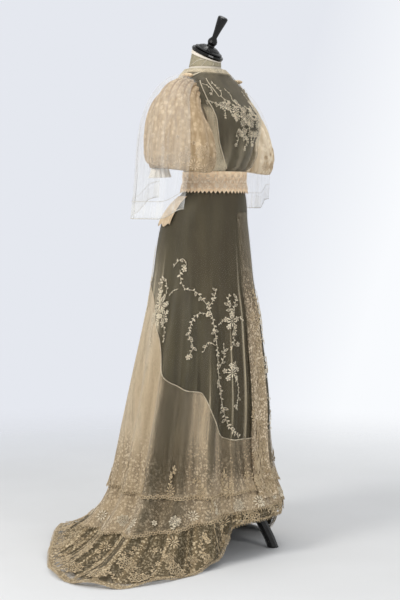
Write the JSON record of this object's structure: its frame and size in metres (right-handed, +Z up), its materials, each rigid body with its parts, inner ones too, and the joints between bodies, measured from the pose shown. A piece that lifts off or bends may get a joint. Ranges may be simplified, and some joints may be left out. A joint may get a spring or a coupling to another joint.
{
  "type": "wedding dress on a dress form with stand",
  "caption": "Trained lace and net wedding dress with a high collar, puffed sleeves and cape oversleeves, worn on a limbless dress form on a turned tripod stand.",
  "frame": {"origin": "middle of the whole outline at floor level", "axes": "+Z up, the dress faces -Y, its train runs to +Y and is spread to -X, the wearer's right"},
  "size_m": [0.9674, 0.7948, 1.67],
  "materials": {
    "dark_satin": "dull satin",
    "cream_net": "matt net and lace",
    "cream_lace": "matt lace",
    "sheer_net": "fine sheer net",
    "form_jersey": "matt jersey",
    "black_lacquer": "black gloss lacquer"
  },
  "bodies": {
    "root": {"form_torso": "form_jersey", "form_neck_cap": "black_lacquer", "form_handle": "black_lacquer", "form_pole": "black_lacquer", "form_hub": "black_lacquer", "form_leg_1": "black_lacquer", "form_leg_2": "black_lacquer", "form_leg_3": "black_lacquer", "slip_front": "dark_satin", "slip_back": "dark_satin", "slip_skirt": "dark_satin", "bodice_front": "sheer_net", "bodice_back": "sheer_net", "collar": "cream_net", "collar_band": "cream_lace", "sleeve_right": "cream_lace", "sleeve_left": "cream_lace", "sleeve_frill_right": "sheer_net", "sleeve_frill_left": "sheer_net", "oversleeve_right": "sheer_net", "oversleeve_left": "sheer_net", "sleeve_head_right": "cream_lace", "sleeve_head_left": "cream_lace", "waistband": "cream_lace", "peplum": "cream_lace", "skirt_net": "sheer_net", "flounce_upper": "cream_net", "flounce_middle": "cream_lace", "hem_flounce_left": "cream_lace", "hem_flounce_right": "cream_lace", "skirt_front_gore": "cream_lace"}
  },
  "joints": []
}
